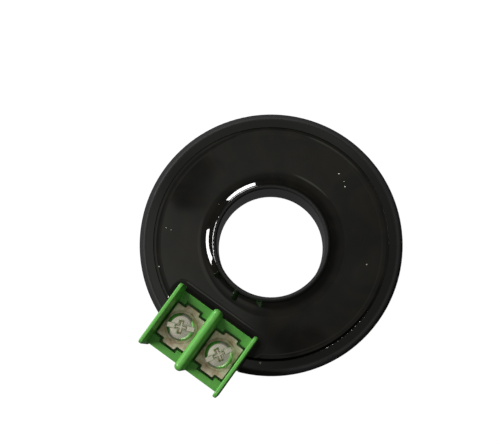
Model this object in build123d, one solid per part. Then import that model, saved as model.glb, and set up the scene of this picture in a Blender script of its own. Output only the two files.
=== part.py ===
from build123d import *
import os
from math import cos, hypot, radians, sin

# Ring current transformer with a two-way barrier terminal block, potted in a ring-shaped case.
# Frame: origin at the centre of the bore on the base face, +Z up along the bore.
# The terminal block stands towards -Y with its length along X. All sizes are millimetres.

# Case: a moulded cup with a tube up its middle
bore_radius = 11.75
tube_wall = 1.2
floor_thickness = 1.6
rim_width = 3.2
draft = 0.2
rim_rise = 0.35
tube_rise = 1.4
tube_rounding = 0.55
rim_outer_rounding = 1.2
rim_inner_rounding = 0.12
foot_rounding = 0.8
trough_rounding = 0.5

# Wound core, from the tube outwards
core_gap = 0.55
core_build = 2.3
core_height = 6.4
core_tape_thickness = 0.25
winding_thickness = 0.5
winding_tape_thickness = 0.2

# Potting resin
resin_cover = 1.7
tube_meniscus = (3.0, 0.85)
rim_meniscus = (1.5, 0.2)
block_meniscus = (2.2, 0.7)
meniscus_end_inset = 0.6
potting_margin = 2.8

# Terminal block housing
cell_width = 8.0
middle_barrier = 2.0
outer_barrier = 0.9
block_height = 14.5
base_height = 5.9
block_embed = 4.6
block_gap = 0.6
barrier_setback = 0.85
barrier_overhang = 0.65
ledge_width = 1.55
barrier_rounding = 1.2
outer_barrier_rounding = 0.3
middle_barrier_crest = 0.2
housing_corner = 0.3
ledge_rounding = 0.15
notch_gap = 0.45
well_gap = 0.35

# Clamp plate, contact strip and screw
plate_length = 7.8
plate_thickness = 0.9
plate_side_gap = 0.35
plate_end_gap = 0.5
plate_drop = 0.3
plate_hole_gap = 0.15
plate_corner = 0.3
plate_boss_radius = 3.5
plate_boss_rise = 0.2
plate_edge_rounding = 0.12
tab_width = 3.3
tab_reach = 0.85
contact_thickness = 0.8
contact_inset = 0.15
pin_width = 1.2
pin_length = 3.0
shank_radius = 1.45
thread_gap = 0.05
screw_length = 4.5
tip_chamfer = 0.3
head_radius = 3.0
head_height = 2.2
head_crown = 0.2
head_rounding = 0.85
slot_width = 1.1
slot_depth = 0.9
recess_span = 3.0
recess_depth = 1.5
recess_taper = 12
slot_angles = (23, 59)

# Leads from the winding to the pins
wire_radius = 0.25
sleeve_wall = 0.3
lead_drop = 1.8
lead_angle = -52
lead_outward_run = 3.0
lead_level_run = 4.6
lead_bends = (1.6, 2.5)
solder_radius = 1.1
solder_film = 0.1
sleeve_start_gap = 0.5

# Levels and radii that follow
tube_radius = bore_radius + tube_wall
covered_winding = core_tape_thickness + winding_thickness
wrap_thickness = covered_winding + winding_tape_thickness
core_inner = tube_radius + core_gap + wrap_thickness
core_outer = core_inner + core_build
core_bottom = floor_thickness + wrap_thickness
core_top = core_bottom + core_height
wound_outer = core_outer + wrap_thickness
resin_level = core_top + wrap_thickness + resin_cover
rim_top = resin_level + rim_rise
tube_top = resin_level + tube_rise

underside = resin_level - block_embed
ledge = underside + base_height
ridge = underside + block_height
plate_top = ledge - plate_drop
plate_bottom = plate_top - plate_thickness
seat = plate_bottom - contact_thickness
screw_tip = plate_top - screw_length
pin_tip = underside - pin_length
lead_level = underside - lead_drop

barrier_back = -(wound_outer + block_gap)
body_back = barrier_back - barrier_setback
cell_half_length = plate_length / 2 + tab_reach + plate_end_gap + ledge_width
cell_y = body_back - cell_half_length
body_front = cell_y - cell_half_length
barrier_front = body_front - barrier_overhang
pin_back = cell_y + plate_length / 2 + tab_reach
pin_front = pin_back - contact_thickness
cell_x = (middle_barrier + cell_width) / 2
pocket_half_width = cell_width / 2
plate_half_width = pocket_half_width - plate_side_gap
block_half_width = cell_x + pocket_half_width + outer_barrier
outer_barrier_x = block_half_width - outer_barrier / 2
middle_barrier_rounding = (middle_barrier - middle_barrier_crest) / 2
trough_radius = hypot(cell_x, pin_front) + potting_margin
case_radius = trough_radius + rim_width


def turned(*corners):
    """Solid turned about Z from (radius, height, corner rounding) points."""
    outline = FilletPolyline(
        *[(radius, height) for radius, height, _ in corners],
        radius=[rounding for _, _, rounding in corners],
        close=True,
    )
    return revolve(Plane.XZ * make_face(outline))


def grown_core(distance):
    """The core's section grown by a distance, its corners rounded by as much."""
    inner, outer = core_inner - distance, core_outer + distance
    bottom, top = core_bottom - distance, core_top + distance
    corners = ((inner, bottom), (outer, bottom), (outer, top), (inner, top))
    return turned(*[(radius, height, distance) for radius, height in corners])


def cylinder_between(bottom, top, radius):
    """Upright cylinder about Z between two levels."""
    return Pos(0, 0, (bottom + top) / 2) * Cylinder(radius, top - bottom)


def box_between(x_range, y_range, z_range):
    """Box between two corners given as ranges along each axis."""
    size = [abs(high - low) for low, high in (x_range, y_range, z_range)]
    centre = [(low + high) / 2 for low, high in (x_range, y_range, z_range)]
    return Pos(*centre) * Box(*size)


def trough(top):
    """Space inside the cup from its floor up to a level."""
    return turned(
        (tube_radius, floor_thickness, trough_rounding),
        (trough_radius, floor_thickness, trough_rounding),
        (trough_radius, top, 0),
        (tube_radius, top, 0),
    )


def notch(half_width, top):
    """Gap in the cup's outer wall that takes the terminal block, up to a level."""
    return box_between((-half_width, half_width), (barrier_back, -case_radius), (underside, top))


def case():
    """Moulded cup: floor, tube with a rounded lip, outer wall and the notch for the block."""
    cup = turned(
        (bore_radius, 0, 0),
        (case_radius - draft, 0, foot_rounding),
        (case_radius, rim_top, rim_outer_rounding),
        (trough_radius, rim_top, rim_inner_rounding),
        (trough_radius, floor_thickness, trough_rounding),
        (tube_radius, floor_thickness, trough_rounding),
        (tube_radius, tube_top, tube_rounding),
        (bore_radius, tube_top, tube_rounding),
    )
    return cup - notch(block_half_width + notch_gap, tube_top)


def cove(meniscus):
    """Section of a meniscus: it leaves the level resin at its reach and hollows up a wall to its rise."""
    reach, rise = meniscus
    hollow = (reach**2 + rise**2) / (2 * rise)
    corner = Polygon((0, 0), (reach, 0), (0, rise), align=None)
    return corner - Pos(reach, hollow) * Circle(hollow)


def ring_meniscus(radius, meniscus, side):
    """Meniscus that climbs a round wall; side is 1 outside that radius and -1 inside it."""
    section = cove(meniscus) if side > 0 else mirror(cove(meniscus), about=Plane.YZ)
    return revolve(Plane.XZ * Pos(radius, resin_level) * section)


def block_meniscus_band():
    """Meniscus that climbs the back and both sides of the terminal block."""
    reach = -(trough_radius + rim_width / 2)
    path = FilletPolyline(
        (-block_half_width, reach, resin_level),
        (-block_half_width, body_back, resin_level),
        (block_half_width, body_back, resin_level),
        (block_half_width, reach, resin_level),
        radius=housing_corner,
    )
    start = Plane(path @ 0, x_dir=(-1, 0, 0), z_dir=(0, 1, 0))
    band = sweep(start * cove(block_meniscus), path=path)
    band &= cylinder_between(underside, ridge, case_radius - meniscus_end_inset)
    return band & (trough(ridge) + notch(block_half_width + notch_gap, ridge))


def resin_fill(inner_parts):
    """Cast resin round everything in the cup, flush with the notch and creeping up the walls."""
    level_fill = trough(resin_level) + notch(block_half_width + notch_gap, resin_level)
    level_fill &= cylinder_between(floor_thickness, resin_level, case_radius - draft)
    creep = [
        ring_meniscus(tube_radius, tube_meniscus, 1),
        ring_meniscus(trough_radius, rim_meniscus, -1),
        block_meniscus_band(),
    ]
    return (level_fill + creep) - [grown_core(wrap_thickness), case(), housing_blank(), *inner_parts]


def at_cells(side, solid):
    """A solid drawn about a cell's centre, moved to the cell on side -1 or 1."""
    return Pos(side * cell_x, cell_y, 0) * solid


def barrier(x, thickness, edge_rounding):
    """Upright wall of the block with rounded ends, standing on the underside."""
    across = (x - thickness / 2, x + thickness / 2)
    wall = box_between(across, (barrier_back, barrier_front), (underside, ridge))
    corners = wall.edges().filter_by(Axis.X).group_by(Axis.Z)[-1]
    wall = fillet(corners, barrier_rounding)
    upper = wall.edges().filter_by(lambda edge: edge.center().Z > underside and edge.center().X != x)
    return fillet(upper, edge_rounding)


def pocket():
    """Cross-shaped pocket for a clamp plate and its contact, with the screw's well and pin slot."""
    depth = ledge - seat
    wide = Box(2 * pocket_half_width, plate_length + 2 * plate_end_gap, depth)
    long = Box(tab_width + 2 * plate_end_gap, plate_length + 2 * (tab_reach + plate_end_gap), depth)
    well_depth = seat - screw_tip + well_gap
    well = Pos(0, 0, seat - well_depth / 2) * Cylinder(shank_radius + well_gap, well_depth)
    pin_slot = box_between(
        (-pin_width / 2, pin_width / 2), (pin_back - cell_y, pin_front - cell_y), (underside, ledge)
    )
    return Pos(0, 0, (ledge + seat) / 2) * (wide + long) + well + pin_slot


def housing_blank():
    """The block before its pockets: base, thin outer barriers and a thick middle one."""
    base = box_between((-block_half_width, block_half_width), (body_back, body_front), (underside, ledge))
    base = fillet(base.edges().filter_by(Axis.Z), housing_corner)
    lips = base.edges().filter_by(Axis.X).group_by(Axis.Z)[-1]
    base = fillet(lips, ledge_rounding)
    walls = [barrier(side * outer_barrier_x, outer_barrier, outer_barrier_rounding) for side in (-1, 1)]
    walls.append(barrier(0, middle_barrier, middle_barrier_rounding))
    return base + walls


def terminal_housing():
    """Moulded block with its two pockets."""
    return housing_blank() - [at_cells(side, pocket()) for side in (-1, 1)]


def clamp_plate():
    """Square plate with a guide tab at each end, a low stamped boss under the head and a clearance hole."""
    outline = Rectangle(2 * plate_half_width, plate_length)
    outline += Rectangle(tab_width, plate_length + 2 * tab_reach)
    outline = fillet(outline.vertices(), plate_corner)
    sheet = extrude(outline, plate_thickness - plate_boss_rise)
    sheet = fillet(sheet.edges().group_by(Axis.Z)[-1], plate_edge_rounding)
    boss = extrude(Circle(plate_boss_radius), plate_thickness)
    boss = fillet(boss.edges().group_by(Axis.Z)[-1], plate_edge_rounding)
    hole = extrude(Circle(shank_radius + plate_hole_gap), plate_thickness)
    return Pos(0, 0, plate_bottom) * (sheet + boss - hole)


def terminal_contact():
    """Strip under the plate with the tapped hole, bent down at the back into the solder pin."""
    pad = Rectangle(2 * (plate_half_width - contact_inset), plate_length - 2 * contact_inset)
    pad -= Circle(shank_radius + thread_gap)
    pad = Pos(0, 0, seat) * extrude(pad, contact_thickness)
    inside = contact_thickness / 2
    strip_start = plate_length / 2 - contact_inset
    leg = FilletPolyline(
        (strip_start, plate_bottom),
        (pin_back - cell_y, plate_bottom),
        (pin_back - cell_y, pin_tip),
        (pin_front - cell_y, pin_tip),
        (pin_front - cell_y, seat),
        (strip_start, seat),
        radius=[0, inside, 0, 0, 0, 0],
        close=True,
    )
    return pad + extrude(Plane.YZ * make_face(leg), pin_width / 2, both=True)


def terminal_screw(slot_angle):
    """Pan-head screw with a straight slot and a cross recess, its thread as a plain shank."""
    top = plate_top + head_height
    head = turned(
        (0, plate_top, 0),
        (head_radius, plate_top, 0),
        (head_radius, top - head_crown, head_rounding),
        (0, top, 0),
    )
    shank = turned(
        (0, screw_tip, 0),
        (shank_radius - tip_chamfer, screw_tip, 0),
        (shank_radius, screw_tip + tip_chamfer, 0),
        (shank_radius, plate_top, 0),
        (0, plate_top, 0),
    )
    slot = Box(2 * head_radius, slot_width, 2 * slot_depth)
    cross = Rectangle(recess_span, slot_width) + Rectangle(slot_width, recess_span)
    recess = extrude(cross, amount=-recess_depth, taper=recess_taper)
    drive = Rot(0, 0, slot_angle) * (slot + recess)
    return head + shank - Pos(0, 0, top) * drive


def lead_path(side, start_gap=0, end_gap=0):
    """Run of a lead from the winding's outside to behind its pin, cut short at either end."""
    out = (side * cos(radians(lead_angle)), sin(radians(lead_angle)))
    start = core_outer + covered_winding
    turn = start + lead_outward_run
    along_pin = pin_back + solder_film + wire_radius
    end = cell_x - pin_width / 2
    return FilletPolyline(
        (out[0] * (start + start_gap), out[1] * (start + start_gap), lead_level),
        (out[0] * turn, out[1] * turn, lead_level),
        (side * (end + lead_level_run), along_pin, lead_level),
        (side * (end + end_gap), along_pin, lead_level),
        radius=lead_bends,
    )


def tube_along(path, radius):
    """Round bar of a given radius along a path."""
    return sweep(Plane(path @ 0, z_dir=path % 0) * Circle(radius), path=path)


def lead_sleeve(side):
    """Insulating sleeve over a lead, from near the winding to the solder."""
    covered = lead_path(side, sleeve_start_gap, pin_width / 2 + solder_radius)
    return tube_along(covered, wire_radius + sleeve_wall) - tube_along(lead_path(side), wire_radius)


def solder_joint(side, pin, wire):
    """Rounded bead of solder where a lead lies against its pin."""
    bead = Pos(side * cell_x, pin_back, lead_level) * Sphere(solder_radius)
    return bead - pin - wire


parts = {
    "case": case(),
    "terminal_housing": terminal_housing(),
    "core_ring": grown_core(0),
    "core_tape": grown_core(core_tape_thickness) - grown_core(0),
    "secondary_winding": grown_core(covered_winding) - grown_core(core_tape_thickness),
}
potted = []
leads = []
for number, side in enumerate((-1, 1), start=1):
    contact = at_cells(side, terminal_contact())
    wire = tube_along(lead_path(side), wire_radius)
    sleeve = lead_sleeve(side)
    solder = solder_joint(side, contact, wire)
    parts[f"terminal_contact_{number}"] = contact
    parts[f"clamp_plate_{number}"] = at_cells(side, clamp_plate())
    parts[f"terminal_screw_{number}"] = at_cells(side, terminal_screw(slot_angles[number - 1]))
    parts[f"lead_wire_{number}"] = wire
    parts[f"lead_sleeve_{number}"] = sleeve
    parts[f"solder_joint_{number}"] = solder
    potted += [contact, wire, sleeve, solder]
    leads.append(wire)
parts["winding_tape"] = grown_core(wrap_thickness) - grown_core(covered_winding) - leads
parts["resin_fill"] = resin_fill(potted)

os.makedirs("parts", exist_ok=True)
for node, solid in parts.items():
    export_step(solid, f"parts/{node}.step")
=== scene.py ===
import logging
import math
import random
from dataclasses import dataclass
from enum import Enum
from typing import Optional

import bmesh
import bpy
from mathutils import Matrix, Quaternion, Vector


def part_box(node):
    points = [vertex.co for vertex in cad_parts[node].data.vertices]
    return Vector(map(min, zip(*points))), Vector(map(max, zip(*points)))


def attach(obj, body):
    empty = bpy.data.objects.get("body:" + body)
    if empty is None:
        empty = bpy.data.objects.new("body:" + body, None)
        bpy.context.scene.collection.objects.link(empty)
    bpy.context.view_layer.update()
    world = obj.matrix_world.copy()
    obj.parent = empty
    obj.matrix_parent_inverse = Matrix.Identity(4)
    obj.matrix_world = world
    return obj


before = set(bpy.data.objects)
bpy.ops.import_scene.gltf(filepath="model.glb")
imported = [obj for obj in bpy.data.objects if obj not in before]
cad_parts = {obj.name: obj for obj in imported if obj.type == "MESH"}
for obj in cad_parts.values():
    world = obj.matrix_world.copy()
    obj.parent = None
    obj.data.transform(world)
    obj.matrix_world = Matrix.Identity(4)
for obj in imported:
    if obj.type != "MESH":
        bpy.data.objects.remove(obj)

log = logging.getLogger("current_transformer")

Tree, Node, Socket = bpy.types.NodeTree, bpy.types.Node, bpy.types.NodeSocket

MM = 0.001

# A Mix node's sockets by number, because several of them have the same name
COLOUR_A, COLOUR_B, COLOUR_OUT = 6, 7, 2
FLOAT_A, FLOAT_B = 2, 3
# How many finer sizes a noise has, where it isn't the usual two
NO_DETAIL, MOTTLE_DETAIL, FINE_DETAIL = 0.0, 3.0, 4.0
# Where in a noise its separate patches start, and where they are full
PATCHES = {"From Min": 0.4, "From Max": 0.75}
EDGE_SAMPLES, CREVICE_SAMPLES = 6, 8


class Terminal(Enum):
    """The two screw terminals, by the number that their nodes carry."""

    LEFT = 1
    RIGHT = 2


def linear(hex_colour: str) -> tuple[float, float, float, float]:
    """Turns an sRGB hex colour into the linear RGBA that shaders take.

    Args:
        hex_colour: six hex digits, such as "1a2b3c".

    Returns:
        Linear red, green and blue, and an alpha of 1.
    """
    channels = [int(hex_colour[i:i + 2], 16) / 255 for i in (0, 2, 4)]
    curve = [c / 12.92 if c <= 0.04045 else ((c + 0.055) / 1.055) ** 2.4 for c in channels]
    return (*curve, 1.0)


def direction(azimuth: float, elevation: float) -> Vector:
    """Unit vector towards an azimuth and an elevation, both in degrees."""
    turn, rise = math.radians(azimuth), math.radians(elevation)
    return Vector((math.cos(turn) * math.cos(rise), math.sin(turn) * math.cos(rise),
                   math.sin(rise)))


def add_node(tree: Tree, kind: str, settings: Optional[dict] = None,
             links: Optional[dict] = None) -> Node:
    """Adds a node with its settings and links.

    Args:
        tree: the node tree that takes the node.
        kind: the node's type, such as "ShaderNodeTexNoise".
        settings: values of its properties, and then of its inputs by name or number.
        links: output sockets that feed its inputs, by name or number.

    Returns:
        The new node.
    """
    node = tree.nodes.new(kind)
    for key, value in (settings or {}).items():
        if isinstance(key, str) and hasattr(node, key):
            setattr(node, key, value)
        else:
            node.inputs[key].default_value = value
    for key, socket in (links or {}).items():
        tree.links.new(socket, node.inputs[key])
    return node


@dataclass(frozen=True)
class Finish:
    """A real material and how its surface was made; each kind adds its own pattern."""

    name: str
    colour: str
    roughness: float
    ior: float = 1.5
    metallic: float = 0.0
    specular: float = 0.5
    mottle_size: float = 1.0 * MM
    mottle_depth: float = 0.05

    def material(self) -> bpy.types.Material:
        """Builds the material: shader, pattern and output.

        Returns:
            The material, ready for a mesh.
        """
        material = bpy.data.materials.new(self.name)
        material.use_nodes = True
        tree = material.node_tree
        tree.nodes.clear()
        shader = add_node(tree, "ShaderNodeBsdfPrincipled", {
            "Base Color": linear(self.colour), "Roughness": self.roughness, "IOR": self.ior,
            "Metallic": self.metallic, "Specular IOR Level": self.specular,
        })
        add_node(tree, "ShaderNodeOutputMaterial", links={"Surface": shader.outputs[0]})
        place = add_node(tree, "ShaderNodeTexCoord").outputs["Object"]
        self.pattern(tree, shader, place)
        return material

    def pattern(self, tree: Tree, shader: Node, place: Socket) -> None:
        """Adds the surface's own detail; a plain finish has a fine mottle.

        Args:
            tree: the material's nodes.
            shader: its Principled shader.
            place: the object coordinates, in metres.
        """
        self.mottle(tree, shader, place)

    def mottle(self, tree: Tree, shader: Node, place: Socket) -> None:
        """Varies roughness a little either way, as handling and cooling leave it.

        Args:
            tree: the material's nodes.
            shader: its Principled shader.
            place: the object coordinates.
        """
        noise = add_node(tree, "ShaderNodeTexNoise", {
            "Scale": 1 / self.mottle_size, "Detail": MOTTLE_DETAIL,
        }, {"Vector": place})
        spread = add_node(tree, "ShaderNodeMapRange", {
            "To Min": max(0.0, self.roughness - self.mottle_depth),
            "To Max": self.roughness + self.mottle_depth,
        }, {"Value": noise.outputs[0]})
        tree.links.new(spread.outputs[0], shader.inputs["Roughness"])

    def radius(self, tree: Tree, place: Socket) -> Socket:
        """Gives the distance from the ring's axis.

        Args:
            tree: the material's nodes.
            place: the object coordinates.

        Returns:
            The socket that carries the distance, in metres.
        """
        flat = add_node(tree, "ShaderNodeVectorMath", {"operation": "MULTIPLY", 1: (1.0, 1.0, 0.0)},
                        {0: place})
        length = add_node(tree, "ShaderNodeVectorMath", {"operation": "LENGTH"},
                          {0: flat.outputs[0]})
        return length.outputs["Value"]

    def turn(self, tree: Tree, place: Socket) -> Socket:
        """Gives the angle round the Z axis.

        Args:
            tree: the material's nodes.
            place: the object coordinates, or others whose origin is on the axis.

        Returns:
            The socket that carries the angle, in radians.
        """
        parts = add_node(tree, "ShaderNodeSeparateXYZ", links={0: place})
        angle = add_node(tree, "ShaderNodeMath", {"operation": "ARCTAN2"},
                         {0: parts.outputs["Y"], 1: parts.outputs["X"]})
        return angle.outputs[0]

    def tint(self, tree: Tree, shader: Node, factor: Socket, colour: str) -> None:
        """Mixes a second colour into the base colour.

        Args:
            tree: the material's nodes.
            shader: its Principled shader.
            factor: 0 where the base colour stays, 1 where the second one shows.
            colour: the second colour, as sRGB hex.
        """
        mix = add_node(tree, "ShaderNodeMix", {
            "data_type": "RGBA", COLOUR_A: linear(self.colour), COLOUR_B: linear(colour),
        }, {0: factor})
        tree.links.new(mix.outputs[COLOUR_OUT], shader.inputs["Base Color"])

    def relief(self, tree: Tree, shader: Node, height: Socket, depth: float,
               below: Optional[Node] = None) -> Node:
        """Raises the surface by a height pattern.

        Args:
            tree: the material's nodes.
            shader: its Principled shader.
            height: the pattern, from 0 to 1.
            depth: its full height, in metres.
            below: an earlier relief that this one is laid over.

        Returns:
            The bump node, for a further relief.
        """
        links = {"Height": height}
        if below:
            links["Normal"] = below.outputs["Normal"]
        bump = add_node(tree, "ShaderNodeBump", {"Strength": 1.0, "Distance": depth}, links)
        tree.links.new(bump.outputs["Normal"], shader.inputs["Normal"])
        return bump


@dataclass(frozen=True)
class MouldedGlossPlastic(Finish):
    """Moulded ABS: glossy, but handling has dulled its outer corner and the bore's lip."""

    wave_size: float = 5 * MM
    wave_depth: float = 0.004 * MM
    glossy_radius: float = 26.9 * MM
    dull_radius: float = 27.7 * MM
    dull_roughness: float = 0.85
    lip_radius: float = 12.3 * MM
    lip_bottom: float = 12.4 * MM

    def pattern(self, tree: Tree, shader: Node, place: Socket) -> None:
        """Adds the faint waves that shrinkage leaves, and the wear of the corner and the lip."""
        wave = add_node(tree, "ShaderNodeTexNoise", {"Scale": 1 / self.wave_size},
                        {"Vector": place})
        self.relief(tree, shader, wave.outputs[0], self.wave_depth)
        radius = self.radius(tree, place)
        corner = add_node(tree, "ShaderNodeMapRange", {
            "From Min": self.glossy_radius, "From Max": self.dull_radius,
        }, {"Value": radius})
        inside = add_node(tree, "ShaderNodeMath", {"operation": "LESS_THAN", 1: self.lip_radius},
                          {0: radius})
        height = add_node(tree, "ShaderNodeSeparateXYZ", links={0: place}).outputs["Z"]
        high = add_node(tree, "ShaderNodeMath", {"operation": "GREATER_THAN", 1: self.lip_bottom},
                        {0: height})
        lip = add_node(tree, "ShaderNodeMath", {"operation": "MULTIPLY"},
                       {0: inside.outputs[0], 1: high.outputs[0]})
        worn = add_node(tree, "ShaderNodeMath", {"operation": "MAXIMUM"},
                        {0: corner.outputs[0], 1: lip.outputs[0]})
        dull = add_node(tree, "ShaderNodeMapRange", {
            "To Min": self.roughness, "To Max": self.dull_roughness,
        }, {"Value": worn.outputs[0]})
        tree.links.new(dull.outputs[0], shader.inputs["Roughness"])


@dataclass(frozen=True)
class CastEpoxy(Finish):
    """Poured epoxy: mirror gloss, long shallow waves, and small pits where bubbles broke.

    It shrank from the rim, which left a gap there, deepest on one side, and on the side where it
    sank it lies level up to the rim.
    """

    wave_size: float = 12 * MM
    wave_depth: float = 0.15 * MM
    rim_radius: float = 25.35 * MM
    rise_reach: float = 1.5 * MM
    rise_height: float = 0.2 * MM
    rise_power: float = 2.0
    gap_width: float = 0.5 * MM
    gap_depth: float = 0.5 * MM
    gap_power: float = 1.0
    # A side's start and its full place are shares of the rim's radius towards its azimuth
    sunk_azimuth: float = 34.0
    sunk_across: tuple[float, float] = (-0.5, 0.0)
    sunk_sharpness: float = 1.0
    gap_azimuth: float = -38.0
    gap_across: tuple[float, float] = (-0.5, 1.0)
    gap_sharpness: float = 4.0
    gap_least: float = 0.2
    film_size: float = 7 * MM
    film_swirl: float = 1.0
    film_colour: str = "120f0b"
    pit_spacing: float = 3.5 * MM
    pit_radius: float = 0.12 * MM
    pit_depth: float = 0.02 * MM

    def pattern(self, tree: Tree, shader: Node, place: Socket) -> None:
        """Adds the waves, the level side and the gap, the pits and the thin film of dirt."""
        wave = add_node(tree, "ShaderNodeTexNoise", {
            "Scale": 1 / self.wave_size, "Detail": NO_DETAIL,
        }, {"Vector": place})
        surface = self.relief(tree, shader, wave.outputs[0], self.wave_depth)
        radius = self.radius(tree, place)
        sunk = self.side(tree, place, self.sunk_azimuth, self.sunk_across, self.sunk_sharpness)
        deep = self.side(tree, place, self.gap_azimuth, self.gap_across, self.gap_sharpness)
        gap = add_node(tree, "ShaderNodeMath", {"operation": "MAXIMUM", 1: self.gap_least},
                       {0: deep}).outputs[0]
        for reach, depth, power, share in (
                (self.rise_reach, self.rise_height, self.rise_power, sunk),
                (self.gap_width, self.gap_depth, self.gap_power, gap)):
            near = add_node(tree, "ShaderNodeMapRange", {
                "From Min": self.rim_radius - reach, "From Max": self.rim_radius,
            }, {"Value": radius})
            curve = add_node(tree, "ShaderNodeMath", {"operation": "POWER", 1: power},
                             {0: near.outputs[0]})
            sink = add_node(tree, "ShaderNodeMath", {"operation": "MULTIPLY"},
                            {0: curve.outputs[0], 1: share})
            left = add_node(tree, "ShaderNodeMath", {"operation": "SUBTRACT", 0: 1.0},
                            {1: sink.outputs[0]})
            surface = self.relief(tree, shader, left.outputs[0], depth, surface)
        dirt_film_and_painted_shade = add_node(tree, "ShaderNodeTexNoise", {
            "Scale": 1 / self.film_size, "Distortion": self.film_swirl,
        }, {"Vector": place})
        smears = add_node(tree, "ShaderNodeMapRange", PATCHES, {"Value": dirt_film_and_painted_shade.outputs[0]})
        self.tint(tree, shader, smears.outputs[0], self.film_colour)
        cells = add_node(tree, "ShaderNodeTexVoronoi", {"Scale": 1 / self.pit_spacing},
                         {"Vector": place})
        pit = add_node(tree, "ShaderNodeMapRange", {
            "interpolation_type": "SMOOTHSTEP", "From Max": self.pit_radius / self.pit_spacing,
        }, {"Value": cells.outputs["Distance"]})
        self.relief(tree, shader, pit.outputs[0], self.pit_depth, surface)

    def side(self, tree: Tree, place: Socket, azimuth: float, across: tuple[float, float],
             sharpness: float) -> Socket:
        """Picks out one side of the ring.

        Args:
            tree: the material's nodes.
            place: the object coordinates.
            azimuth: where the side is, in degrees.
            across: where it starts and is full, as shares of the rim's radius towards that azimuth.
            sharpness: the power that narrows it.

        Returns:
            The socket that carries 0 before the start and 1 where the side is full.
        """
        start, full = across
        toward = add_node(tree, "ShaderNodeVectorMath", {
            "operation": "DOT_PRODUCT", 1: direction(azimuth, 0),
        }, {0: place})
        share = add_node(tree, "ShaderNodeMapRange", {
            "From Min": start * self.rim_radius, "From Max": full * self.rim_radius,
        }, {"Value": toward.outputs["Value"]})
        narrowed = add_node(tree, "ShaderNodeMath", {"operation": "POWER", 1: sharpness},
                            {0: share.outputs[0]})
        return narrowed.outputs[0]


@dataclass(frozen=True)
class MouldedNylon(Finish):
    """Moulded polyamide: satin, a little light passes into thin walls, faint flow marks."""

    glow: float = 0.12
    glow_colour: tuple[float, float, float] = (0.4, 1.0, 0.3)
    glow_reach: float = 1.0 * MM
    flow_colour: str = "4f9a40"
    flow_size: float = 3 * MM
    flow_swirl: float = 0.8
    # The spark-eroded texture is drawn coarser than life, so that it shows
    texture_size: float = 0.12 * MM
    texture_depth: float = 0.004 * MM

    def pattern(self, tree: Tree, shader: Node, place: Socket) -> None:
        """Adds the glow under the skin, the flow marks and the spark-eroded texture."""
        shader.inputs["Subsurface Weight"].default_value = self.glow
        shader.inputs["Subsurface Radius"].default_value = self.glow_colour
        shader.inputs["Subsurface Scale"].default_value = self.glow_reach
        flow = add_node(tree, "ShaderNodeTexNoise", {
            "Scale": 1 / self.flow_size, "Distortion": self.flow_swirl,
        }, {"Vector": place})
        self.tint(tree, shader, flow.outputs[0], self.flow_colour)
        grit = add_node(tree, "ShaderNodeTexNoise", {"Scale": 1 / self.texture_size},
                        {"Vector": place})
        self.relief(tree, shader, grit.outputs[0], self.texture_depth)


@dataclass(frozen=True)
class StampedStrip(Finish):
    """Plated strip, rolled and stamped: fine lines along X, soft edges and stained patches."""

    mottle_size: float = 0.8 * MM
    mottle_depth: float = 0.1
    # The rolled lines are drawn coarser than life, so that they show
    line_spacing: float = 0.12 * MM
    line_depth: float = 0.003 * MM
    line_stretch: tuple[float, float, float] = (0.04, 1.0, 1.0)
    edge_radius: float = 0.12 * MM
    stain_size: float = 1.6 * MM
    stain_colour: str = "9b8f7c"

    def pattern(self, tree: Tree, shader: Node, place: Socket) -> None:
        """Adds the rolled lines, the soft edges and the stained patches."""
        stretch = add_node(tree, "ShaderNodeMapping", {"Scale": self.line_stretch},
                           {"Vector": place})
        lines = add_node(tree, "ShaderNodeTexNoise", {"Scale": 1 / self.line_spacing},
                         {"Vector": stretch.outputs[0]})
        edge = add_node(tree, "ShaderNodeBevel", {
            "samples": EDGE_SAMPLES, "Radius": self.edge_radius,
        })
        self.relief(tree, shader, lines.outputs[0], self.line_depth, edge)
        stain = add_node(tree, "ShaderNodeTexNoise", {
            "Scale": 1 / self.stain_size, "Detail": FINE_DETAIL,
        }, {"Vector": place})
        spread = add_node(tree, "ShaderNodeMapRange", PATCHES, {"Value": stain.outputs[0]})
        self.tint(tree, shader, spread.outputs[0], self.stain_colour)
        self.mottle(tree, shader, place)


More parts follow.
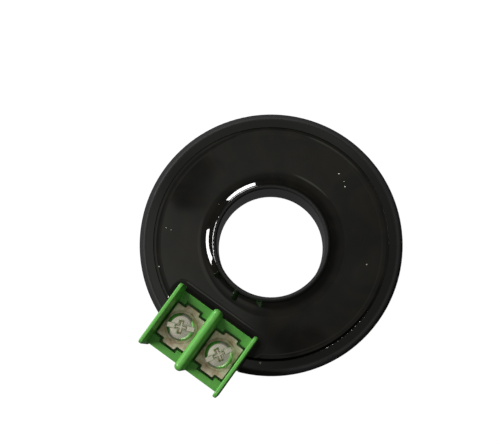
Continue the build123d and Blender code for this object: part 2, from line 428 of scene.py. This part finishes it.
@dataclass(frozen=True)
class PlatedScrew(Finish):
    """Cold-headed screw, barrel plated: bright and finely scratched, with a rolled thread, and
    painted shade in its recess.
    """

    mottle_size: float = 0.5 * MM
    mottle_depth: float = 0.06
    axis: tuple[float, float] = (0.0, 0.0)
    thread_top: float = 12.4 * MM
    thread_pitch: float = 0.5 * MM
    thread_depth: float = 0.25 * MM
    # The barrel scratches are drawn coarser than life, so that they show
    scratch_size: float = 0.2 * MM
    scratch_swirl: float = 1.5
    scratch_depth: float = 0.007 * MM
    edge_radius: float = 0.16 * MM
    crevice_size: float = 0.8 * MM
    # Colour of the painted shade in the recess and the slot
    recess_shade_colour: str = "d6d0b8"
    # Share of the open sky where the painted shade in a recess starts, and where it is full
    recess_shade_start: float = 0.7
    recess_shade_full: float = 0.2

    def pattern(self, tree: Tree, shader: Node, place: Socket) -> None:
        """Adds painted shade in the recess, the barrel scratches, the soft edges and the thread."""
        # Painted shade: the base colour darkens where ambient occlusion finds little open sky, in
        # the recess and the slot
        crevice = add_node(tree, "ShaderNodeAmbientOcclusion", {
            "samples": CREVICE_SAMPLES, "Distance": self.crevice_size,
        })
        dirt_film_and_painted_shade = add_node(tree, "ShaderNodeMapRange", {
            "From Min": self.recess_shade_start, "From Max": self.recess_shade_full,
        }, {"Value": crevice.outputs["AO"]})
        self.tint(tree, shader, dirt_film_and_painted_shade.outputs[0], self.recess_shade_colour)
        scratch = add_node(tree, "ShaderNodeTexNoise", {
            "Scale": 1 / self.scratch_size, "Detail": FINE_DETAIL, "Distortion": self.scratch_swirl,
        }, {"Vector": place})
        edge = add_node(tree, "ShaderNodeBevel", {
            "samples": EDGE_SAMPLES, "Radius": self.edge_radius,
        })
        skin = self.relief(tree, shader, scratch.outputs[0], self.scratch_depth, edge)
        self.relief(tree, shader, self.thread(tree, place), self.thread_depth, skin)
        self.mottle(tree, shader, place)

    def thread(self, tree: Tree, place: Socket) -> Socket:
        """Gives the thread's ridge, a right-handed helix round the shank.

        Args:
            tree: the material's nodes.
            place: the object coordinates.

        Returns:
            The socket that carries the ridge, and 0 on the head.
        """
        x, y = self.axis
        centred = add_node(tree, "ShaderNodeMapping", {"Location": (-x, -y, 0.0)},
                           {"Vector": place}).outputs[0]
        height = add_node(tree, "ShaderNodeSeparateXYZ", links={0: centred}).outputs["Z"]
        lead = add_node(tree, "ShaderNodeMath", {"operation": "DIVIDE", 1: math.tau},
                        {0: self.turn(tree, centred)})
        climb = add_node(tree, "ShaderNodeMath", {"operation": "DIVIDE", 1: self.thread_pitch},
                         {0: height})
        helix = add_node(tree, "ShaderNodeMath", {"operation": "SUBTRACT"},
                         {0: climb.outputs[0], 1: lead.outputs[0]})
        ridge = add_node(tree, "ShaderNodeMath", {"operation": "PINGPONG", 1: 0.5},
                         {0: helix.outputs[0]})
        shank = add_node(tree, "ShaderNodeMath", {"operation": "LESS_THAN", 1: self.thread_top},
                         {0: height})
        thread = add_node(tree, "ShaderNodeMath", {"operation": "MULTIPLY"},
                          {0: ridge.outputs[0], 1: shank.outputs[0]})
        return thread.outputs[0]


@dataclass(frozen=True)
class WrappedTape(Finish):
    """Tape wound round a ring: each turn overlaps the last, and its edge shows."""

    turns: int = 40
    edge_depth: float = 0.06 * MM
    edge_share: float = 0.12
    edge_colour: str = "b8860b"

    def pattern(self, tree: Tree, shader: Node, place: Socket) -> None:
        """Adds the overlap of the turns, as a saw tooth round the ring's axis."""
        count = add_node(tree, "ShaderNodeMath", {
            "operation": "MULTIPLY", 1: self.turns / math.tau,
        }, {0: self.turn(tree, place)})
        tooth = add_node(tree, "ShaderNodeMath", {"operation": "FRACT"}, {0: count.outputs[0]})
        self.relief(tree, shader, tooth.outputs[0], self.edge_depth)
        edge = add_node(tree, "ShaderNodeMath", {"operation": "LESS_THAN", 1: self.edge_share},
                        {0: tooth.outputs[0]})
        self.tint(tree, shader, edge.outputs[0], self.edge_colour)


@dataclass(frozen=True)
class WoundWire(Finish):
    """Enamelled wire laid side by side round a ring: a rounded rib for every turn."""

    turns: int = 220
    rib_depth: float = 0.2 * MM
    gap_share: float = 0.25
    gap_colour: str = "4a1f0c"
    enamel: float = 0.6
    enamel_roughness: float = 0.1

    def pattern(self, tree: Tree, shader: Node, place: Socket) -> None:
        """Adds the clear enamel, the ribs and the dark gaps between them."""
        shader.inputs["Coat Weight"].default_value = self.enamel
        shader.inputs["Coat Roughness"].default_value = self.enamel_roughness
        phase = add_node(tree, "ShaderNodeMath", {"operation": "MULTIPLY", 1: self.turns / 2},
                         {0: self.turn(tree, place)})
        wave = add_node(tree, "ShaderNodeMath", {"operation": "SINE"}, {0: phase.outputs[0]})
        rib = add_node(tree, "ShaderNodeMath", {"operation": "ABSOLUTE"}, {0: wave.outputs[0]})
        self.relief(tree, shader, rib.outputs[0], self.rib_depth)
        gap = add_node(tree, "ShaderNodeMath", {"operation": "LESS_THAN", 1: self.gap_share},
                       {0: rib.outputs[0]})
        self.tint(tree, shader, gap.outputs[0], self.gap_colour)


@dataclass(frozen=True)
class WoundStrip(Finish):
    """Silicon steel strip wound like a clock spring: its edges show as fine circles."""

    strip_thickness: float = 0.3 * MM
    step_depth: float = 0.03 * MM
    edge_share: float = 0.2
    edge_colour: str = "6a6c70"

    def pattern(self, tree: Tree, shader: Node, place: Socket) -> None:
        """Adds a circle for every layer of the strip."""
        layer = add_node(tree, "ShaderNodeMath", {"operation": "DIVIDE", 1: self.strip_thickness},
                         {0: self.radius(tree, place)})
        step = add_node(tree, "ShaderNodeMath", {"operation": "FRACT"}, {0: layer.outputs[0]})
        self.relief(tree, shader, step.outputs[0], self.step_depth)
        edge = add_node(tree, "ShaderNodeMath", {"operation": "LESS_THAN", 1: self.edge_share},
                        {0: step.outputs[0]})
        self.tint(tree, shader, edge.outputs[0], self.edge_colour)


# House dust: pale and fully matt
DUST = Finish("house_dust", "c4c2b6", 0.9, specular=0.2)
# Black ABS: deep colour, near mirror gloss
BLACK_CASE = MouldedGlossPlastic("black_moulded_abs", "080808", 0.1)
# Black potting epoxy: as deep, glossier, less flat
BLACK_RESIN = CastEpoxy("black_cast_epoxy", "060605", 0.04)
# Green polyamide: satin and slightly waxy
GREEN_NYLON = MouldedNylon("green_moulded_nylon", "63a848", 0.36, ior=1.53)
# Nickel-plated steel: warm pale metal, dulled by stamping, with brownish stains
NICKEL_PLATE = StampedStrip("nickel_plated_stamping", "fdeedd", 0.52, metallic=1.0,
                            stain_colour="cfa98c")
# Tin-plated brass: greyer and smoother than the nickel plate
TINNED_BRASS = StampedStrip("tin_plated_brass", "c9c6ba", 0.34, metallic=1.0,
                            stain_colour="a79b74")
# Solder: bright where it froze, with a dull skin in patches
SOLDER = Finish("tin_solder", "c4c6c8", 0.22, metallic=1.0)
# Enamelled copper wire: red brown, and under a clear gloss coat where it is wound
COPPER_WINDING = WoundWire("enamelled_copper_winding", "b5562a", 0.3, metallic=1.0)
COPPER_LEAD = Finish("enamelled_copper_wire", "b5562a", 0.25, metallic=1.0)
# Polyester tape: smooth film, yellow outside and cream on the core
OUTER_TAPE = WrappedTape("yellow_polyester_tape", "d9a11c", 0.3, ior=1.64)
CORE_TAPE = WrappedTape("cream_polyester_tape", "e2dcc6", 0.35, ior=1.64, turns=26,
                        edge_colour="c3b98f")
# Silicon steel: blue grey, bare edges of the wound strip
CORE_STEEL = WoundStrip("wound_silicon_steel", "9a9ca1", 0.35, metallic=1.0)
# Fluoropolymer sleeve: milky and waxy
SLEEVE = Finish("fluoropolymer_sleeving", "dcdcd6", 0.3, ior=1.38)


def dress(node: str, finish: Finish) -> None:
    """Gives a CAD node its finish.

    Args:
        node: the node's name.
        finish: what its surface is made of.
    """
    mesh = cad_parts[node].data
    mesh.materials.clear()
    mesh.materials.append(finish.material())
    log.info("%s: %s", node, finish.name)


def piece_from(bm: bmesh.types.BMesh, name: str, finish: Finish, body: str) -> bpy.types.Object:
    """Turns a bmesh into a finished, smoothly shaded piece that rides on a body.

    Args:
        bm: the shape, in the frame of the CAD; it is freed here.
        name: the piece's name.
        finish: what its surface is made of.
        body: the CAD body that it moves with.

    Returns:
        The piece.
    """
    mesh = bpy.data.meshes.new(name)
    bm.to_mesh(mesh)
    bm.free()
    for polygon in mesh.polygons:
        polygon.use_smooth = True
    mesh.materials.append(finish.material())
    piece = bpy.data.objects.new(name, mesh)
    bpy.context.scene.collection.objects.link(piece)
    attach(piece, body)
    log.info("%s: %d faces on %s", name, len(mesh.polygons), body)
    return piece


@dataclass(frozen=True)
class PottedRing:
    """The moulded cup and the resin poured into it."""

    def dress(self) -> None:
        """Gives the cup and the resin their finishes."""
        dress("case", BLACK_CASE)
        dress("resin_fill", BLACK_RESIN)


@dataclass(frozen=True)
class TerminalBlock:
    """The moulded housing, and the contact, plate and screw of each terminal."""

    screw_colour: str = "f8f4e6"
    screw_roughness: float = 0.22

    def dress(self) -> None:
        """Gives the housing and each terminal's metal parts their finishes."""
        dress("terminal_housing", GREEN_NYLON)
        for terminal in Terminal:
            number = terminal.value
            low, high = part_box(f"terminal_screw_{number}")
            centre = (low + high) / 2
            dress(f"terminal_contact_{number}", TINNED_BRASS)
            dress(f"clamp_plate_{number}", NICKEL_PLATE)
            # Bright nickel on steel: smoother than the plate under it
            screw = PlatedScrew(f"bright_nickel_screw_{number}", self.screw_colour,
                                self.screw_roughness, metallic=1.0, axis=(centre.x, centre.y))
            dress(f"terminal_screw_{number}", screw)


@dataclass(frozen=True)
class Secondary:
    """The core, its winding and tapes, and the leads to the terminals."""

    def dress(self) -> None:
        """Gives the wound parts and the leads their finishes."""
        dress("core_ring", CORE_STEEL)
        dress("core_tape", CORE_TAPE)
        dress("secondary_winding", COPPER_WINDING)
        dress("winding_tape", OUTER_TAPE)
        for terminal in Terminal:
            dress(f"lead_wire_{terminal.value}", COPPER_LEAD)
            dress(f"lead_sleeve_{terminal.value}", SLEEVE)
            dress(f"solder_joint_{terminal.value}", SOLDER)


def top_under(place: Vector, eye_height: float = 0.1) -> float:
    """Height of the ring's top face at a place, found by looking straight down on it.

    Args:
        place: a point above or on the ring, in metres.
        eye_height: a height above all of the ring, in metres.

    Returns:
        The height of the highest face there, in metres.
    """
    eye, down = Vector((place.x, place.y, eye_height)), Vector((0.0, 0.0, -1.0))
    hits = [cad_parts[node].ray_cast(eye, down) for node in ("case", "resin_fill")]
    return max(spot.z for found, spot, _, _ in hits if found)


@dataclass(frozen=True)
class Dust:
    """White specks of dust that lie on the ring."""

    # Distance from the ring's axis in mm, azimuth in degrees, radius of the grain in mm
    spots: tuple[tuple[float, float, float], ...] = (
        (21.2, 81.3, 0.2), (20.3, 73.1, 0.16), (20.9, 76.0, 0.12), (25.8, -59.5, 0.26),
        (24.7, -132.3, 0.13), (21.2, 23.0, 0.14), (23.0, -152.6, 0.11), (21.8, -151.9, 0.09),
    )
    subdivisions: int = 2
    raggedness: float = 0.35
    narrowest: float = 0.5
    flatness: float = 0.45
    seed: int = 11

    def build(self) -> None:
        """Lays out the specks as ragged flat grains, each on whatever is under it."""
        chance = random.Random(self.seed)
        bm = bmesh.new()
        for radius, azimuth, size in self.spots:
            place = direction(azimuth, 0) * radius * MM
            grain = bmesh.ops.create_icosphere(bm, subdivisions=self.subdivisions,
                                               radius=size * MM)["verts"]
            for vert in grain:
                vert.co *= 1 + self.raggedness * (chance.random() - 0.5) * 2
            width = self.narrowest + (1 - self.narrowest) * chance.random()
            bmesh.ops.scale(bm, verts=grain, vec=Vector((1.0, width, self.flatness)))
            turn = Matrix.Rotation(chance.random() * math.tau, 3, "Z")
            bmesh.ops.rotate(bm, verts=grain, matrix=turn)
            bmesh.ops.translate(bm, verts=grain, vec=(place.x, place.y, top_under(place)))
        bmesh.ops.recalc_face_normals(bm, faces=bm.faces[:])
        piece_from(bm, "dust_specks", DUST, "case")


@dataclass(frozen=True)
class SoftBox:
    """A rectangular studio light that points at the part.

    Angles are in degrees, lengths in metres and the power in watts.
    """

    name: str
    azimuth: float
    elevation: float
    distance: float
    width: float
    height: float
    power: float
    lean: float = 0.0

    def build(self, target: Vector) -> None:
        """Sets up the light.

        Args:
            target: the point that it faces.
        """
        light = bpy.data.lights.new(self.name, "AREA")
        light.shape = "RECTANGLE"
        light.size, light.size_y, light.energy = self.width, self.height, self.power
        lamp = bpy.data.objects.new(self.name, light)
        away = direction(self.azimuth, self.elevation)
        lamp.location = target + away * self.distance
        lean = Quaternion((0.0, 0.0, 1.0), math.radians(self.lean))
        lamp.rotation_euler = (away.to_track_quat("Z", "Y") @ lean).to_euler()
        bpy.context.scene.collection.objects.link(lamp)


@dataclass(frozen=True)
class CeilingPatch:
    """A soft round patch of the ceiling that is brighter or darker than the rest.

    It is full within its core and fades to its reach. Both are angles from its centre, in degrees.
    """

    azimuth: float
    off_zenith: float
    core: float
    reach: float
    strength: float

    def mix(self, tree: Tree, toward: Socket, strength: Socket) -> Socket:
        """Lays the patch over the brightness so far.

        Args:
            tree: the surroundings' nodes.
            toward: the direction that is looked along.
            strength: the brightness so far.

        Returns:
            The brightness with the patch.
        """
        centre = direction(self.azimuth, 90 - self.off_zenith)
        nearness = add_node(tree, "ShaderNodeVectorMath", {"operation": "DOT_PRODUCT", 1: centre},
                            {0: toward})
        share = add_node(tree, "ShaderNodeMapRange", {
            "interpolation_type": "SMOOTHSTEP",
            "From Min": math.cos(math.radians(self.reach)),
            "From Max": math.cos(math.radians(self.core)),
        }, {"Value": nearness.outputs["Value"]})
        both = add_node(tree, "ShaderNodeMix", {"data_type": "FLOAT", FLOAT_B: self.strength},
                        {0: share.outputs[0], FLOAT_A: strength})
        return both.outputs[0]


@dataclass(frozen=True)
class Studio:
    """Floor, soft lights, dim surroundings and the camera.

    Floor and surroundings are white to the camera alone. The part itself mirrors a dim room.
    """

    floor_colour: str = "303030"
    floor_roughness: float = 0.9
    floor_specular: float = 0.1
    floor_radius: float = 4.0
    floor_segments: int = 96
    floor_gap: float = 0.02 * MM
    floor_glow: float = 1.0
    floor_return: float = 0.05
    backdrop_colour: str = "ffffff"
    ceiling_colour: str = "fffff4"
    horizon: float = 0.09
    # Each is laid over the ones before it
    patches: tuple[CeilingPatch, ...] = (
        CeilingPatch(262, 28, 6, 24, 0.5),
        CeilingPatch(130, 6, 14, 46, 0.2),
        CeilingPatch(140, 12, 2, 13, 0.32),
        CeilingPatch(178, 9, 1, 12, 0.39),
        CeilingPatch(207, 10, 4, 10, 0.62),
        CeilingPatch(60, 2.0, 0.2, 2.2, 0.11),
        CeilingPatch(150, 9.8, 0.2, 1.9, 0.16),
        CeilingPatch(105, 15, 1.5, 3.5, 0.9),
    )
    aim: tuple[float, float, float] = (-6.3 * MM, 1.0 * MM, 12.5 * MM)
    camera_azimuth: float = -48.2
    camera_elevation: float = 82.95
    camera_distance: float = 235.2 * MM
    camera_roll: float = 125.8
    camera_near: float = 1 * MM
    lens: float = 78.4
    lights: tuple[SoftBox, ...] = (
        SoftBox("key_box", 152, 28, 1.2, 0.5, 0.2, 12, -8),
        SoftBox("side_box", 212, 41, 1.2, 0.5, 0.24, 12, -12),
    )

    def build(self) -> None:
        """Sets up the floor, the surroundings, the lights and the camera."""
        self.build_floor()
        self.build_surroundings()
        for light in self.lights:
            light.build(Vector(self.aim))
        self.build_camera()

    def build_floor(self) -> None:
        """Lays the floor a hair below the part's base."""
        bm = bmesh.new()
        bmesh.ops.create_circle(bm, cap_ends=True, segments=self.floor_segments,
                                radius=self.floor_radius)
        mesh = bpy.data.meshes.new("floor")
        bm.to_mesh(mesh)
        bm.free()
        mesh.materials.append(self.paper())
        floor = bpy.data.objects.new("floor", mesh)
        floor.location.z = -self.floor_gap
        bpy.context.scene.collection.objects.link(floor)

    def paper(self) -> bpy.types.Material:
        """Makes the floor's paper, which glows towards the camera and is clear from below.

        Returns:
            The material.
        """
        # Backdrop paper: dark and matt, so that little light comes back from it to the part
        paper = Finish("backdrop_paper", self.floor_colour, self.floor_roughness,
                       specular=self.floor_specular).material()
        tree = paper.node_tree
        surface = tree.nodes["Material Output"].inputs["Surface"]
        lit = surface.links[0].from_socket
        seen = add_node(tree, "ShaderNodeLightPath").outputs["Is Camera Ray"]
        strength = add_node(tree, "ShaderNodeMapRange", {
            "To Min": self.floor_return, "To Max": self.floor_glow,
        }, {"Value": seen})
        glow = add_node(tree, "ShaderNodeEmission", links={"Strength": strength.outputs[0]})
        both = add_node(tree, "ShaderNodeAddShader", links={0: lit, 1: glow.outputs[0]})
        clear = add_node(tree, "ShaderNodeBsdfTransparent")
        below = add_node(tree, "ShaderNodeNewGeometry").outputs["Backfacing"]
        sheet = add_node(tree, "ShaderNodeMixShader",
                         links={0: below, 1: both.outputs[0], 2: clear.outputs[0]})
        tree.links.new(sheet.outputs[0], surface)
        return paper

    def build_surroundings(self) -> None:
        """Makes a dim room with a soft ceiling, white where the camera sees it."""
        world = bpy.data.worlds.new("studio")
        bpy.context.scene.world = world
        world.use_nodes = True
        tree = world.node_tree
        tree.nodes.clear()
        toward = add_node(tree, "ShaderNodeTexCoord").outputs["Generated"]
        strength = add_node(tree, "ShaderNodeValue").outputs[0]
        strength.default_value = self.horizon
        for patch in self.patches:
            strength = patch.mix(tree, toward, strength)
        seen = add_node(tree, "ShaderNodeLightPath").outputs["Is Camera Ray"]
        room = add_node(tree, "ShaderNodeBackground", {"Color": linear(self.ceiling_colour)},
                        {"Strength": strength})
        backdrop = add_node(tree, "ShaderNodeBackground", {"Color": linear(self.backdrop_colour)})
        both = add_node(tree, "ShaderNodeMixShader",
                        links={0: seen, 1: room.outputs[0], 2: backdrop.outputs[0]})
        add_node(tree, "ShaderNodeOutputWorld", links={0: both.outputs[0]})

    def build_camera(self) -> None:
        """Sets up the camera, nearly over the bore, turned to put the terminals lower left."""
        aim = Vector(self.aim)
        away = direction(self.camera_azimuth, self.camera_elevation)
        right = (-away).cross(direction(self.camera_roll, 0)).normalized()
        up = away.cross(right)
        turned = Matrix((right, up, away)).transposed().to_4x4()
        camera = bpy.data.objects.new("camera", bpy.data.cameras.new("camera"))
        camera.data.lens = self.lens
        camera.data.clip_start = self.camera_near
        camera.matrix_world = Matrix.Translation(aim + away * self.camera_distance) @ turned
        bpy.context.scene.collection.objects.link(camera)
        bpy.context.scene.camera = camera


def main() -> None:
    """Dresses the part, lays out the dust that the CAD leaves out, and sets up the studio."""
    logging.basicConfig(level=logging.INFO, format="%(name)s: %(message)s")
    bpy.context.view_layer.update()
    PottedRing().dress()
    TerminalBlock().dress()
    Secondary().dress()
    Dust().build()
    Studio().build()
    bpy.context.scene.view_settings.view_transform = "Standard"


if __name__ == "__main__":
    main()
